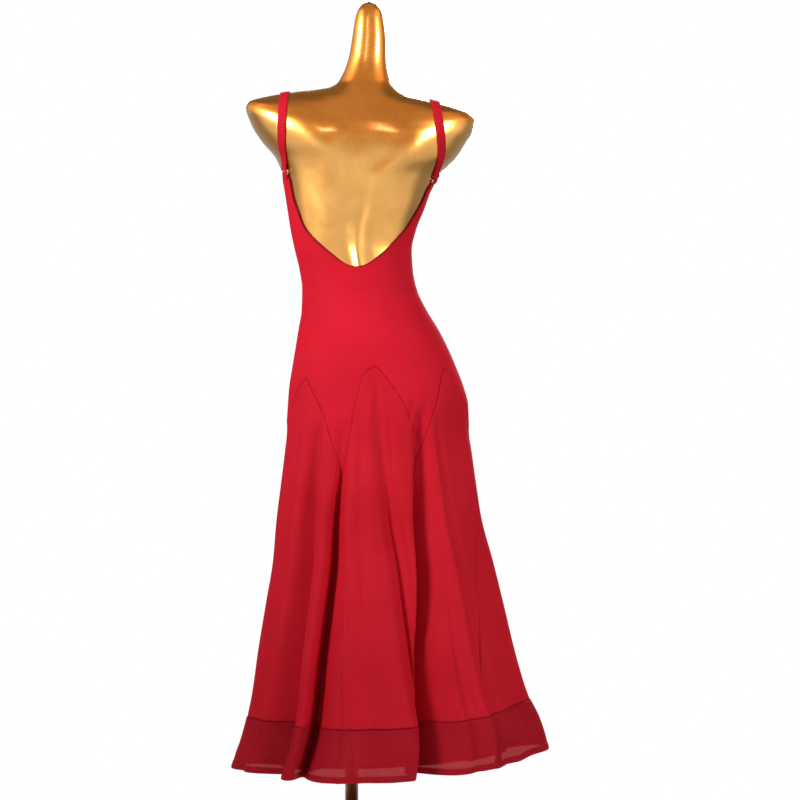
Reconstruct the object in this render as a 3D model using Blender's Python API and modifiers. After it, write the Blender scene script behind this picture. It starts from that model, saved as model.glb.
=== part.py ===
# A ballroom practice dress with a low open back and six arched gores, worn by a limbless display
# form on a pole and a round base. The wearer's front faces -Y and the wearer's left is +X.
# The origin is the centre of the base's underside. Sizes are in millimetres, and each mesh is
# made in metres.
import math
from collections import namedtuple

import bpy
import numpy as np
from mathutils import Vector
from mathutils.bvhtree import BVHTree

MM = 0.001

# Driving sizes
CLOTH_WALL = 1.2
CLOTH_EASE = 3.2  # from the form to the cloth's outer face where the dress is fitted
SEAM_GAP = 0.4
HEM_BAND_DEEP = 83.0
HEM_BINDING_DEEP = 12.0
HEM_BINDING_WALL = 1.8
STRAP_WIDE = 17.0
STRAP_WALL = 1.6
POLE_RADIUS = 12.5
BASE_RADIUS = 180.0
BASE_THICK = 9.0

# Facets
FORM_FACETS = 40
FORM_RINGS = 38
GORE_COLUMNS = 13
COLUMN_EVENNESS = 0.8  # the even part of a gore's column spacing; the rest is the cloth's length
COLUMN_STEPS = 400
GORE_ROWS = 11
BODICE_ROWS = 14
BAND_ROWS = 2

# How round a section is: 1 is an ellipse and less is squarer
SECTION_POWER = 0.9

# The form, a section a row. height is that of the section's front and back, and left and right
# are its ends, which stand left_rise and right_rise above that height.
Section = namedtuple("Section", "height left right back front left_rise right_rise")
FORM = [
    Section(798, 111, -209, 108, -96, 0, 0),
    Section(834, 116, -216, 117, -98, 0, 0),
    Section(871, 117, -217, 122, -99, 0, 0),
    Section(909, 115, -209, 122, -98, 0, 0),
    Section(947, 110, -197, 116, -97, 0, 0),
    Section(985, 104, -181, 105, -95, 0, 0),
    Section(1023, 98, -162, 93, -92, 0, 0),
    Section(1061, 92, -139, 83, -88, 0, 0),
    Section(1099, 91, -121, 76, -84, 0, 0),
    Section(1137, 96, -113, 74, -83, 0, 0),
    Section(1175, 105, -111, 77, -87, 0, 0),
    Section(1213, 113, -119, 83, -95, 0, 0),
    Section(1251, 119, -134, 90, -107, 0, 0),
    Section(1289, 125, -148, 96, -117, 0, 0),
    Section(1315, 130, -162, 99, -116, 0, 0),
    Section(1340, 144, -198, 101, -108, 9, 9),
    Section(1365, 170, -219, 102, -98, 15, 15),
    Section(1387, 190, -231, 101, -86, 25, 15),
    Section(1408, 200, -234, 97, -75, 34, 11),
    Section(1427, 194, -225, 90, -64, 28, 5),
    Section(1443, 159, -196, 82, -54, 22, 1),
    Section(1456, 108, -153, 74, -46, 17, -1),
    Section(1467, 64, -113, 67, -39, 11, -3),
    Section(1479, 39, -88, 60, -33, 4, -2),
    Section(1494, 24, -74, 52, -27, 0, 0),
    Section(1536, 6, -66, 41, -17, 0, 0),
    Section(1574, -1, -65, 36, -14, 0, 0),
    Section(1608, -6, -61, 32, -11, 0, 0),
    Section(1627, -11, -57, 28, -6, 0, 0),
    Section(1640, -20, -47, 20, 2, 0, 0),
]
FORM_TIP = (-33.0, 11.0, 1646.0)
FORM_BOTTOM = FORM[0].height

# Soft swells and hollows of the form's back: at is degrees round from the centre back
Swell = namedtuple("Swell", "at height wide tall out")
SWELLS = [
    Swell(25, 1362, 14, 60, 7.0),
    Swell(-26, 1352, 14, 60, 7.0),
    Swell(-4, 1225, 8, 110, -7.0),
    Swell(-3, 1365, 11, 70, -4.0),
]

# The skirt's envelope, a level a row, as the cloth's outer face
Level = namedtuple("Level", "height left right back front")
SKIRT = [
    Level(140, 240, -388, 266, -280),
    Level(187, 235, -384, 260, -271),
    Level(225, 225, -381, 253, -262),
    Level(244, 218, -378, 249, -257),
    Level(291, 205, -364, 240, -245),
    Level(339, 195, -341, 230, -232),
    Level(415, 184, -318, 214, -210),
    Level(510, 168, -295, 194, -185),
    Level(586, 155, -276, 178, -165),
    Level(662, 148, -255, 163, -145),
    Level(738, 138, -241, 151, -130),
    Level(795, 130, -231, 141, -117),
    Level(836, 124, -223, 136, -110),
    Level(880, 121, -221, 132, -106),
    Level(925, 118, -211, 127, -104),
    Level(965, 111, -193, 117, -101),
]
SKIRT_LEAVES_FORM = (965.0, 870.0)  # the cloth passes from the form's shape to the skirt's between

FOLD_CLEARS_FORM = 110.0  # how far below the form's foot its folds may lie at their full depth

# The seams between the gores, in order round the skirt from the back's right-hand one. The angles
# are degrees from the centre back towards the wearer's left; the tip is where the bodice ends.
Seam = namedtuple("Seam", "tip at_tip at_middle at_hem")
SEAMS = [
    Seam(784, -27, -20.5, -15),
    Seam(750, 19, 23, 28),
    Seam(812, 86, 90, 97),
    Seam(762, 157, 152, 147),
    Seam(762, 203, 209, 214),
    Seam(812, 274, 312, 325),
]
SEAM_TOP = 820.0
SEAM_MIDDLE = 510.0
SEAM_HEM = 190.0
SIDE_LEFT = 2
SIDE_RIGHT = 5
GORE_WIDE = 150.0  # about how wide a gore is at its widest on the form

# The gores' arched tops: share is how far across the gore the arch's crown stands. first and last
# say how straight its two flanks are, from 0, round at the crown, to 1, straight.
Crown = namedtuple("Crown", "name height share first last")
CROWNS = [
    Crown("gore_centre_back", 952, 0.58, 0.40, 0.15),
    Crown("gore_side_back_left", 931, 0.48, 0.60, 0.80),
    Crown("gore_side_front_left", 938, 0.50, 0.60, 0.60),
    Crown("gore_centre_front", 948, 0.50, 0.25, 0.25),
    Crown("gore_side_front_right", 938, 0.50, 0.60, 0.60),
    Crown("gore_side_back_right", 949, 0.51, 0.80, 0.50),
]
FLANK_POWER = 3.0

# Folds of the skirt. top and hem are degrees round from the centre back, where the fold starts and
# at the hem. deep is how far it lies in from the envelope at the hem, wide its half width in
# degrees, and lean the degrees that its bottom slips round under the neighbouring fold.
Fold = namedtuple("Fold", "top hem starts deep wide lean")
FOLDS = [
    Fold(-27.5, -14.5, 885, 76, 4.4, 8),
    Fold(19, 28, 850, 66, 3.6, 12),
    Fold(41, 49, 895, 52, 7.0, -4),
    Fold(88, 99, 850, 40, 9.0, 0),
    Fold(118, 124, 900, 38, 9.5, 4),
    Fold(157, 147, 820, 80, 6.0, -7),
    Fold(178, 176, 900, 16, 7.5, 0),
    Fold(192, 194, 880, 12, 6.0, 0),
    Fold(203, 214, 820, 80, 6.0, 7),
    Fold(232, 240, 900, 42, 10.0, -4),
    Fold(272, 263, 840, 44, 8.5, 0),
    Fold(312, 300, 880, 9, 8.0, 0),
    Fold(0, -13, 925, 26, 3.2, 0),
    Fold(-5, -17, 900, 12, 2.6, 0),
]

# The hem's height round the skirt: its mean, and how much the back stands above the front, the
# right above the left, and the sides above the front and back
HEM_MEAN = 196.0
HEM_BACK_OVER_FRONT = 17.0
HEM_RIGHT_OVER_LEFT = 18.5
HEM_SIDES = 19.0

# The bodice's top edge, from the centre back (0) round each side to the centre front (180)
Edge = namedtuple("Edge", "degrees height")
FRONT_EDGE = [Edge(124, 1338), Edge(138, 1326), Edge(160, 1310), Edge(180, 1302)]
LEFT_EDGE = [
    Edge(0, 1139),
    Edge(5, 1140),
    Edge(10, 1147),
    Edge(19, 1161),
    Edge(28, 1177),
    Edge(39, 1194),
    Edge(50, 1216),
    Edge(56, 1243),
    Edge(62, 1272),
    Edge(64, 1306),
    Edge(68, 1316),
    Edge(75, 1319),
    Edge(84, 1306),
    Edge(95, 1303),
    Edge(106, 1320),
    Edge(115, 1336),
] + FRONT_EDGE
RIGHT_EDGE = [
    Edge(0, 1139),
    Edge(4, 1139.5),
    Edge(9, 1143),
    Edge(20, 1155.5),
    Edge(38, 1177),
    Edge(47, 1194),
    Edge(59, 1216),
    Edge(66, 1243),
    Edge(72, 1272),
    Edge(74, 1292),
    Edge(78, 1299),
    Edge(87, 1299),
    Edge(96, 1290),
    Edge(107, 1312),
    Edge(116, 1336),
] + FRONT_EDGE
TAB_PLACES = (-0.79, 1.655)  # columns added to the bodice's back at its tabs' inner corners

# The straps: how far across each one stands at its ring behind, on the back, over the shoulder
# and in front. The turns are its ends, in degrees from straight back, up and over the shoulder.
Strap = namedtuple("Strap", "name back_x mid_x top_x front_x back_turn front_turn")
STRAPS = [
    Strap("left", 123, 130, 126, 112, -58, 206.0),
    Strap("right", -157, -170, -157, -142, -76, 206.4),
]
STRAP_ROWS = 28
STRAP_OUT = 3.2
STRAP_AT_RING = 12.0
SHOULDER_MIDDLE = (8.0, 1382.0)
RING_WIDE = 20.0
RING_TALL = 8.0
RING_CORNER = 2.0
RING_WIRE = 0.9
RING_OUT = 0.8
RING_BELOW_STRAP = 2.2

# The stand
COLLAR_RADIUS = 24.0
COLLAR_TALL = 34.0
FLANGE_RADIUS = 42.0
FLANGE_THICK = 6.0

# Finishes: colour (linear red, green, blue), roughness and metallic value
Finish = namedtuple("Finish", "name colour rough metal")
CREPE = Finish("Stretch crepe", (0.72, 0.012, 0.03), 0.72, 0.0)
GEORGETTE = Finish("Polyester georgette", (0.50, 0.008, 0.018), 0.62, 0.0)
SATIN = Finish("Satin binding", (0.42, 0.006, 0.014), 0.5, 0.0)
GILT = Finish("Gilt lacquered shell", (0.78, 0.44, 0.10), 0.18, 1.0)
STEEL = Finish("Bronzed steel tube", (0.16, 0.10, 0.07), 0.3, 1.0)
WIRE = Finish("Nickel wire", (0.8, 0.78, 0.75), 0.25, 1.0)


def clear_scene():
    for obj in list(bpy.data.objects):
        bpy.data.objects.remove(obj, do_unlink=True)


def material(finish):
    made = bpy.data.materials.get(finish.name)
    if made:
        return made
    made = bpy.data.materials.new(finish.name)
    made.use_nodes = True
    shader = made.node_tree.nodes["Principled BSDF"]
    shader.inputs["Base Color"].default_value = (*finish.colour, 1.0)
    shader.inputs["Roughness"].default_value = finish.rough
    shader.inputs["Metallic"].default_value = finish.metal
    return made


def add_object(name, points, faces, finish, collection):
    """An object of these points, in millimetres, and faces."""
    mesh = bpy.data.meshes.new(name)
    mesh.from_pydata((np.asarray(points) * MM).tolist(), [], faces)
    mesh.shade_smooth()
    mesh.update()
    obj = bpy.data.objects.new(name, mesh)
    obj.data.materials.append(material(finish))
    collection.objects.link(obj)
    return obj


def grid_faces(rows, columns, closed=False):
    """Quads over a grid of points kept row by row, joined round each row when closed."""
    across = columns if closed else columns - 1
    faces = []
    for r in range(rows - 1):
        for c in range(across):
            d = (c + 1) % columns
            faces.append((r * columns + c, (r + 1) * columns + c, (r + 1) * columns + d, r * columns + d))
    return faces


def add_wall(name, grid, thick, finish, collection, proud=0.0):
    """A cloth wall: a grid of outer points, made solid towards its inside but for half of proud."""
    rows, columns = grid.shape[:2]
    obj = add_object(name, grid.reshape(-1, 3), grid_faces(rows, columns), finish, collection)
    solid = obj.modifiers.new("Wall", "SOLIDIFY")
    solid.thickness = thick * MM
    solid.offset = proud / thick - 1


def smooth_curve(at, knots, values):
    """A smooth line through the knots: cubic pieces whose slopes never overshoot."""
    knots = np.asarray(knots, float)
    values = np.asarray(values, float)
    at = np.clip(at, knots[0], knots[-1])
    step = np.diff(knots)
    rise = np.diff(values) / step
    inner = np.where(rise[:-1] * rise[1:] > 0, 2 * rise[:-1] * rise[1:] / (rise[:-1] + rise[1:] + 1e-12), 0)
    slope = np.concatenate([[rise[0]], inner, [rise[-1]]])
    i = np.clip(np.searchsorted(knots, at, side="right") - 1, 0, len(step) - 1)
    t = (at - knots[i]) / step[i]
    start = values[i] + t * t * (3 - 2 * t) * (values[i + 1] - values[i])
    return start + step[i] * t * (1 - t) * ((1 - t) * slope[i] - t * slope[i + 1])


def column(rows, name):
    return [getattr(row, name) for row in rows]


def smooth_column(at, rows, name):
    return smooth_curve(at, column(rows, "height"), column(rows, name))


def smooth_step(t):
    t = np.clip(t, 0, 1)
    return t * t * (3 - 2 * t)


def keep_sign_power(value, power):
    return np.sign(value) * np.abs(value) ** power


def away_degrees(a, b):
    """How far apart two directions are, in degrees from -180 to 180."""
    return (a - b + 180) % 360 - 180


def reach_of(rows, height, out=0.0):
    """How far the section of a height reaches to the left, right, back and front."""
    sides = {"left": 1, "right": -1, "back": 1, "front": -1}
    return {name: smooth_column(height, rows, name) + sign * out for name, sign in sides.items()}


def on_section(turn, reach):
    """The middle of a section, and a point of it less that middle, across and along."""
    across = keep_sign_power(np.sin(turn), SECTION_POWER) * (reach["left"] - reach["right"]) / 2
    along = keep_sign_power(np.cos(turn), SECTION_POWER) * (reach["back"] - reach["front"]) / 2
    return (reach["left"] + reach["right"]) / 2, (reach["back"] + reach["front"]) / 2, across, along


def end_rise(turn, height):
    """How far a point of a section stands above its height, towards the shoulders' ends."""
    left_rise = smooth_column(height, FORM, "left_rise")
    right_rise = smooth_column(height, FORM, "right_rise")
    return np.sin(turn) ** 2 * np.where(np.sin(turn) > 0, left_rise, right_rise)


def swell_out(degrees, height):
    """How far the form's back stands out of its section."""
    total = 0.0
    for swell in SWELLS:
        round_away = away_degrees(degrees, swell.at) / swell.wide
        total = total + swell.out * np.exp(-(round_away**2) - ((height - swell.height) / swell.tall) ** 2)
    return total


def form_point(degrees, height):
    """A point of the form at an angle from the centre back, on the section of that height."""
    turn = np.radians(degrees)
    middle_x, middle_y, across, along = on_section(turn, reach_of(FORM, height))
    y = middle_y + along + swell_out(degrees, height) * np.cos(turn)
    return np.stack(np.broadcast_arrays(middle_x + across, y, height + end_rise(turn, height)), axis=-1)


def gore_angle(place, height):
    """The angle of a place round the skirt, where each seam is a whole number."""
    heights = (SEAM_HEM, SEAM_MIDDLE, SEAM_TOP)
    turns = len(SEAMS)
    lines = []
    for i in range(-2 * turns, 3 * turns):
        seam = SEAMS[i % turns]
        angles = (seam.at_hem, seam.at_middle, seam.at_tip)
        lines.append(smooth_curve(height, heights, angles) + 360.0 * (i // turns))
    lines = np.array(np.broadcast_arrays(*lines))
    place, height = np.broadcast_arrays(np.asarray(place, float), np.asarray(height, float))
    lines = np.array([np.broadcast_to(line, place.shape) for line in lines])
    below = np.floor(place).astype(int)
    low = np.take_along_axis(lines, (below + 2 * turns)[None], axis=0)[0]
    high = np.take_along_axis(lines, (below + 1 + 2 * turns)[None], axis=0)[0]
    return low + (place - below) * (high - low)


def fold_shape(degrees, height):
    """How far in from the envelope the cloth lies, in millimetres, and how far its folds lean."""
    deep = 0.0
    lean = 0.0
    for fold in FOLDS:
        down = np.clip((fold.starts - height) / (fold.starts - SEAM_HEM), 0, 1)
        centre = fold.top + (fold.hem - fold.top) * down
        away = away_degrees(degrees, centre) / fold.wide
        shape = np.exp(-(away**2)) * down * (2 - down)
        deep = deep + fold.deep * shape
        lean = lean + fold.lean * shape
    return deep, lean


def cloth_point(place, height):
    """A point of the dress's outer face at a place round the skirt and a height."""
    degrees = gore_angle(place, height)
    deep, lean = fold_shape(degrees, height)
    turn = np.radians(degrees + lean)
    leaves, left = SKIRT_LEAVES_FORM
    free = 1 - smooth_step((height - left) / (leaves - left))
    fitted = reach_of(FORM, height, CLOTH_EASE)
    loose = reach_of(SKIRT, height)
    reach = {name: fitted[name] + free * (loose[name] - fitted[name]) for name in fitted}
    middle_x, middle_y, across, along = on_section(turn, reach)
    _, _, form_across, form_along = on_section(turn, fitted)
    over_form = smooth_step((height - FORM_BOTTOM + FOLD_CLEARS_FORM) / FOLD_CLEARS_FORM)
    least = over_form * np.minimum(np.hypot(form_across, form_along) / np.hypot(across, along), 1)
    keep = np.maximum(1 - deep / np.hypot(across, along), least)
    swell = np.maximum(swell_out(degrees, height), 0) * np.cos(turn)
    x = middle_x + keep * across
    y = middle_y + keep * along + swell
    return np.stack(np.broadcast_arrays(x, y, height + end_rise(turn, height)), axis=-1)


def arch_height(place):
    """The height of the seam between bodice and gores: each gore's crown, and a tip at each seam."""
    turns = len(SEAMS)
    gore = np.floor(place).astype(int) % turns
    share = place - np.floor(place)
    crown_height = np.array(column(CROWNS, "height"), float)[gore]
    crown_share = np.array(column(CROWNS, "share"))[gore]
    tips = np.array(column(SEAMS, "tip"), float)
    tip = np.where(share < crown_share, tips[gore], tips[(gore + 1) % turns])
    side = np.where(share < crown_share, crown_share, 1 - crown_share)
    away = np.abs(share - crown_share) / side
    flanks = [np.array(column(CROWNS, name))[gore] for name in ("first", "last")]
    straight = np.where(share < crown_share, *flanks)
    return crown_height - (crown_height - tip) * (straight * away + (1 - straight) * away**FLANK_POWER)


def seam_drop(place):
    """How far the gores' top lies under the seam, so that the gap across it stays the same."""
    near = 0.004  # places on either side that the slope is taken over
    lower = np.floor(place) + 1e-6
    upper = np.floor(place) + 1 - 1e-6
    before = np.maximum(place - near, lower)
    after = np.minimum(place + near, upper)
    slope = (arch_height(after) - arch_height(before)) / (GORE_WIDE * (after - before))
    return SEAM_GAP * np.sqrt(1 + slope**2)


def hem_height(place):
    """The height of the dress's lowest edge round the skirt."""
    turn = np.radians(gore_angle(place, SEAM_HEM))
    level = HEM_MEAN + HEM_BACK_OVER_FRONT * np.cos(turn) - HEM_RIGHT_OVER_LEFT * np.sin(turn)
    return level - HEM_SIDES * np.cos(2 * turn)


def top_edge_height(place):
    """The height of the bodice's top edge: the open back, the tabs, the armholes and the neck."""
    degrees = away_degrees(gore_angle(place, SEAM_TOP), 0)
    heights = [
        smooth_curve(np.abs(degrees), column(rows, "degrees"), column(rows, "height"))
        for rows in (LEFT_EDGE, RIGHT_EDGE)
    ]
    return np.where(degrees > 0, heights[0], heights[1])


def columns_of_gore(index):
    """Places across a gore: even steps of a run that is partly the cloth's length along the hem."""
    shares = np.linspace(0, 1, COLUMN_STEPS + 1)
    hem = cloth_point(index + shares, SEAM_HEM)
    length = np.concatenate([[0], np.cumsum(np.linalg.norm(np.diff(hem, axis=0), axis=1))])
    run = length / length[-1] + COLUMN_EVENNESS * shares
    return index + np.interp(np.linspace(0, run[-1], GORE_COLUMNS + 1), run, shares)


def wall_grid(places, low, high, rows):
    """A grid of outer points between two edges, given as heights at each place."""
    down = np.linspace(0, 1, rows + 1)[:, None]
    heights = low + down * (high - low)
    return cloth_point(np.broadcast_to(places, heights.shape), heights)


def make_bodice(name, first, extra, collection):
    """Half the bodice, three gores round from the side seam at place first."""
    gores = len(SEAMS) // 2
    places = [columns_of_gore(first + i)[:-1] for i in range(gores)]
    places = np.concatenate(places + [[first + gores], extra])
    places.sort()
    trim = SEAM_GAP / 2 / GORE_WIDE
    places[0] += trim
    places[-1] -= trim
    grid = wall_grid(places, arch_height(places), top_edge_height(places), BODICE_ROWS)
    add_wall(name, grid, CLOTH_WALL, CREPE, collection)


def make_gore(index, collection):
    """One gore below its arched top, with its pieces of the hem band and of the hem's binding."""
    trim = SEAM_GAP / 2 / GORE_WIDE
    places = np.clip(columns_of_gore(index), index + trim, index + 1 - trim)
    name = CROWNS[index].name
    binding_top = hem_height(places) + HEM_BINDING_DEEP
    band_top = binding_top + HEM_BAND_DEEP
    gore = wall_grid(places, band_top + SEAM_GAP, arch_height(places) - seam_drop(places), GORE_ROWS)
    add_wall(name, gore, CLOTH_WALL, GEORGETTE, collection)
    band = wall_grid(places, binding_top + 2 * SEAM_GAP, band_top, BAND_ROWS)
    add_wall(name.replace("gore", "hem_band"), band, CLOTH_WALL, GEORGETTE, collection)
    ends = np.clip(places, index + 3 * trim, index + 1 - 3 * trim)
    binding = wall_grid(ends, hem_height(ends), hem_height(ends) + HEM_BINDING_DEEP, 1)
    middle = HEM_BINDING_WALL - CLOTH_WALL
    add_wall(name.replace("gore", "hem_binding"), binding, HEM_BINDING_WALL, SATIN, collection, middle)


def make_form(collection):
    """The torso form: a loft through its sections, flat below and round at the neck's tip."""
    knots = np.linspace(0, len(FORM) - 1, FORM_RINGS)
    heights = np.interp(knots, range(len(FORM)), column(FORM, "height"))[:, None]
    degrees = np.linspace(0, 360, FORM_FACETS, endpoint=False)[None, :]
    grid = form_point(degrees, heights)
    points = np.vstack([grid.reshape(-1, 3), [FORM_TIP]])
    faces = grid_faces(FORM_RINGS, FORM_FACETS, closed=True)
    faces.append(tuple(range(FORM_FACETS)))
    last = (FORM_RINGS - 1) * FORM_FACETS
    for c in range(FORM_FACETS):
        faces.append((last + c, len(points) - 1, last + (c + 1) % FORM_FACETS))
    add_object("display_form", points, faces, GILT, collection)
    return BVHTree.FromPolygons(points.tolist(), faces)


def shoulder_point(surface, x, degrees, out):
    """Where a ray in the plane of x, straight back at 0 degrees and up at 90, leaves the form."""
    turn = math.radians(degrees)
    start = Vector((x, *SHOULDER_MIDDLE))
    hit, normal, _, _ = surface.ray_cast(start, Vector((0, math.cos(turn), math.sin(turn))))
    return hit + normal * out, normal


def make_strap(strap, surface, collection):
    """A strap over one shoulder, from its ring behind to the top of the bodice's front."""
    shares = np.linspace(0, 1, STRAP_ROWS + 1)
    turns = strap.back_turn + shares * (strap.front_turn - strap.back_turn)
    middles = smooth_curve(shares, (0, 0.2, 0.5, 1), (strap.back_x, strap.mid_x, strap.top_x, strap.front_x))
    wides = smooth_curve(shares, (0, 0.1, 1), (STRAP_AT_RING, STRAP_WIDE, STRAP_WIDE))
    route = [shoulder_point(surface, x, turn, STRAP_OUT) for x, turn in zip(middles, turns)]
    grid = []
    for i, (middle, normal) in enumerate(route):
        along = route[min(i + 1, STRAP_ROWS)][0] - route[max(i - 1, 0)][0]
        across = along.cross(normal).normalized() * (wides[i] / 2)
        row = [surface.find_nearest(middle + across * side) for side in (-1, 0, 1)]
        grid.append([place + out * STRAP_OUT for place, out, _, _ in row])
    add_wall("strap_" + strap.name, np.array(grid), STRAP_WALL, CREPE, collection)


def make_ring(strap, surface, collection):
    """The wire ring between a strap and the bodice's tab, lying on the form's back."""
    end, normal = shoulder_point(surface, strap.back_x, strap.back_turn, STRAP_OUT)
    above, _ = shoulder_point(surface, strap.back_x, strap.back_turn + 8, STRAP_OUT)
    across = (above - end).cross(normal).normalized()
    up = normal.cross(across)
    centre = end - up * (RING_TALL / 2 + RING_WIRE + RING_BELOW_STRAP) + normal * RING_OUT
    curve = bpy.data.curves.new("Ring", "CURVE")
    curve.dimensions = "3D"
    curve.bevel_depth = RING_WIRE * MM
    curve.bevel_resolution = 1
    wide, tall = RING_WIDE / 2, RING_TALL / 2
    corners = [(-wide, tall - RING_CORNER), (-wide + RING_CORNER, tall)]
    corners += [(-x, y) for x, y in reversed(corners)]
    corners += [(x, -y) for x, y in reversed(corners)]
    spline = curve.splines.new("POLY")
    spline.points.add(len(corners) - 1)
    for point, (x, y) in zip(spline.points, corners):
        point.co = (*((centre + across * x + up * y) * MM), 1)
    spline.use_cyclic_u = True
    curve.materials.append(material(WIRE))
    collection.objects.link(bpy.data.objects.new("ring_" + strap.name, curve))


def make_turned(name, profile, finish, facets, collection):
    """A solid turned round the pole's axis from a profile of radius and height pairs."""
    mesh = bpy.data.meshes.new(name)
    points = [(radius * MM, 0, height * MM) for radius, height in profile]
    mesh.from_pydata(points, [(i, i + 1) for i in range(len(points) - 1)], [])
    obj = bpy.data.objects.new(name, mesh)
    obj.data.materials.append(material(finish))
    collection.objects.link(obj)
    screw = obj.modifiers.new("Turn", "SCREW")
    screw.steps = facets
    screw.render_steps = facets
    screw.use_merge_vertices = True
    screw.merge_threshold = 0.0001
    screw.use_smooth_shade = True
    screw.use_normal_flip = True


def make_stand(collection):
    """The pole, its flange under the form, and the round base with its collar."""
    edge = BASE_THICK * 0.35
    base = [(0, 0), (BASE_RADIUS - edge, 0), (BASE_RADIUS, edge), (BASE_RADIUS, BASE_THICK - edge)]
    base += [(BASE_RADIUS - edge, BASE_THICK), (0, BASE_THICK)]
    make_turned("stand_base", base, STEEL, 48, collection)
    low = BASE_THICK + SEAM_GAP
    inner = POLE_RADIUS + SEAM_GAP
    collar = [(inner, low), (COLLAR_RADIUS, low), (COLLAR_RADIUS, low + COLLAR_TALL * 0.6)]
    collar += [(inner + 2, low + COLLAR_TALL), (inner, low + COLLAR_TALL), (inner, low)]
    make_turned("stand_collar", collar, STEEL, 32, collection)
    high = FORM_BOTTOM - SEAM_GAP - FLANGE_THICK - SEAM_GAP
    pole = [(0, low), (POLE_RADIUS, low), (POLE_RADIUS, high), (0, high)]
    make_turned("stand_pole", pole, STEEL, 32, collection)
    flange_low = high + SEAM_GAP
    flange = [(0, flange_low), (FLANGE_RADIUS, flange_low)]
    flange += [(FLANGE_RADIUS, flange_low + FLANGE_THICK), (0, flange_low + FLANGE_THICK)]
    make_turned("stand_flange", flange, STEEL, 32, collection)


def main():
    clear_scene()
    collection = bpy.data.collections.new("Dance dress on display form")
    bpy.context.scene.collection.children.link(collection)
    surface = make_form(collection)
    make_bodice("bodice_back", SIDE_RIGHT - len(SEAMS), TAB_PLACES, collection)
    make_bodice("bodice_front", SIDE_LEFT, (), collection)
    for index in range(len(SEAMS)):
        make_gore(index, collection)
    for strap in STRAPS:
        make_strap(strap, surface, collection)
        make_ring(strap, surface, collection)
    make_stand(collection)


main()
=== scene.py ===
# A ballroom practice dress with an open back and six arched gores, on a gold display form without
# limbs, on a pole and a round base. The wearer's front faces -Y and the wearer's left is +X.
# The tables are in millimetres and the meshes in metres.
import math
from collections import namedtuple

import bpy
import numpy as np
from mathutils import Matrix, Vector
from mathutils.bvhtree import BVHTree


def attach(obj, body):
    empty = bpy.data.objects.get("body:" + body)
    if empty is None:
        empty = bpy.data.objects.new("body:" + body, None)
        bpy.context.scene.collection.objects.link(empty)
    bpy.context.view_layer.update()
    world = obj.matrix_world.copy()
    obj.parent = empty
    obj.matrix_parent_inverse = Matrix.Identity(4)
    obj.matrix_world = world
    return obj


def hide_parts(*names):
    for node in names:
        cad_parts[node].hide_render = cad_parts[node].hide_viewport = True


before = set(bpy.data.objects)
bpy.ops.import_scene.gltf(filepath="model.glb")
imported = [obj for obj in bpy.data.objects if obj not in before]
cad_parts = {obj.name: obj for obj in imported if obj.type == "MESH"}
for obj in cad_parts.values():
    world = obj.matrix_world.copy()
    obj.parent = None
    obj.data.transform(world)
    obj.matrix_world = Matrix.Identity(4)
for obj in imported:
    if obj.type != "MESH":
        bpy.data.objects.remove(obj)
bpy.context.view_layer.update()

mm = 0.001


# A short table with named columns, from a tuple a row
def table(columns, rows):
    kind = namedtuple("Row", columns)
    return [kind(*row) for row in rows]


# What a user may change, a dictionary for each piece
form = {"facets": 220, "rings": 250, "sectionPower": 0.9}
cloth = {"wall": 0.8, "ease": 3.2, "seamGap": 0.4, "seamDip": 1.1, "seamRoll": 2.0, "puckerReach": 9.0}
bodice = {"columns": 190, "rows": 130, "puckerDeep": 0.12, "puckerLong": 17.0, "edgeRound": 6.5}
gore = {
    "columns": 92,
    "rows": 104,
    "crownRound": 0.07,
    "puckerDeep": 0.35,
    "puckerLong": 21.0,
    "wide": 150.0,  # above, before it flares
    "flaresBelow": 850.0,
    "flare": 0.19,  # width gained for each millimetre further down
    "wideAtHem": 240.0,  # spaces the puckers there
}
allowance = {"wide": 9.0, "wall": 0.4, "under": 0.5, "aboveHem": 4.0, "aboveTip": 8.0}
hemBand = {"deep": 83.0, "rows": 30, "wall": 1.1, "stepOut": 1.2, "overRoll": 0.55}
hemRoll = {"deep": 12.0, "thick": 3.0, "around": 18}
neckRoll = {"tall": 2.8, "thick": 1.9, "step": 1.3, "around": 12}
strap = {"wide": 17.0, "atRing": 15.0, "atLoop": 9.5, "thick": 2.2, "out": 3.2, "steps": 150, "lift": 1.6}
tab = {"wide": 14.0, "thick": 1.1, "long": 11.0}
ring = {"wide": 20.0, "tall": 8.0, "corner": 2.0, "wire": 0.9, "belowStrap": 2.2, "out": 0.8}
stitch = {"long": 2.3, "gap": 1.1, "radius": 0.22, "fromNeck": 3.6, "fromBand": 3.0, "fromStrapEdge": 2.2}
stand = {"pole": 12.5, "base": 180.0, "baseThick": 9.0, "collar": 24.0, "collarTall": 34.0, "flange": 42.0}
skirt = {"leavesForm": (965.0, 870.0), "foldClearsForm": 110.0}
hem = {"mean": 196.0, "backOverFront": 17.0, "rightOverLeft": 18.5, "sides": 19.0}
floor = {"fades": 0.55, "ends": 1.03}
photo = {"distance": 6.0, "mmPerPixel": 1.9, "poleColumn": 351.7, "eyeHeight": 0.89, "pixels": 800}

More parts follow.
